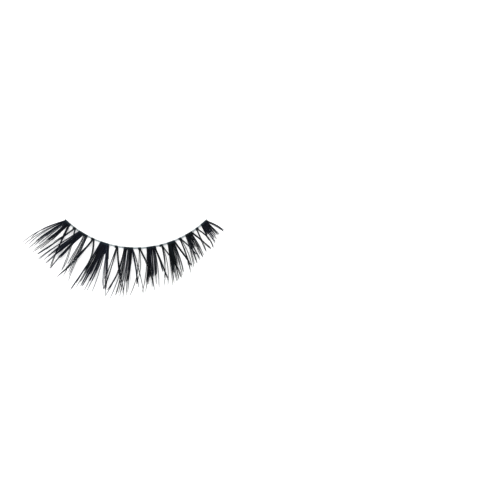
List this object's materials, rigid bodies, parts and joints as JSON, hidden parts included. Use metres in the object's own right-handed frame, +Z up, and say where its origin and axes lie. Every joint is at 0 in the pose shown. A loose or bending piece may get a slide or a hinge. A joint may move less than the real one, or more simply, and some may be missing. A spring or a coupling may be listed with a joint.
{
  "type": "false eyelash strip",
  "caption": "False eyelash strip for one eye: hair tufts knotted on a thin clear band bent round the lid, long tufts with small crossed tufts between them, all curling up.",
  "frame": {"origin": "under the middle of the strip's box, on the surface that the strip lies on", "axes": "+X from the eye's outer corner to its inner corner, +Y to the band's hollow side where the eyelid is, +Z up, the way the lashes curl"},
  "size_m": [0.0422, 0.0164, 0.0048],
  "materials": {
    "band": "clear drawn nylon line with a faint teal-grey tint",
    "knot": "black lash fibre wound tight round the band, satin",
    "hair": "black synthetic lash fibre, satin, tapered to fine tips"
  },
  "bodies": {
    "root": {"lash_band": "band", "knot_01": "knot", "knot_02": "knot", "knot_03": "knot", "knot_04": "knot", "knot_05": "knot", "knot_06": "knot", "knot_07": "knot", "knot_08": "knot", "knot_09": "knot", "knot_10": "knot", "knot_11": "knot", "knot_12": "knot", "knot_13": "knot", "knot_14": "knot", "knot_15": "knot", "lash_tuft_01": "hair", "cross_tuft_02": "hair", "lash_tuft_03": "hair", "cross_tuft_04": "hair", "lash_tuft_05": "hair", "cross_tuft_06": "hair", "lash_tuft_07": "hair", "cross_tuft_08": "hair", "lash_tuft_09": "hair", "cross_tuft_10": "hair", "lash_tuft_11": "hair", "cross_tuft_12": "hair", "lash_tuft_13": "hair", "cross_tuft_14": "hair", "lash_tuft_15": "hair"}
  },
  "joints": []
}
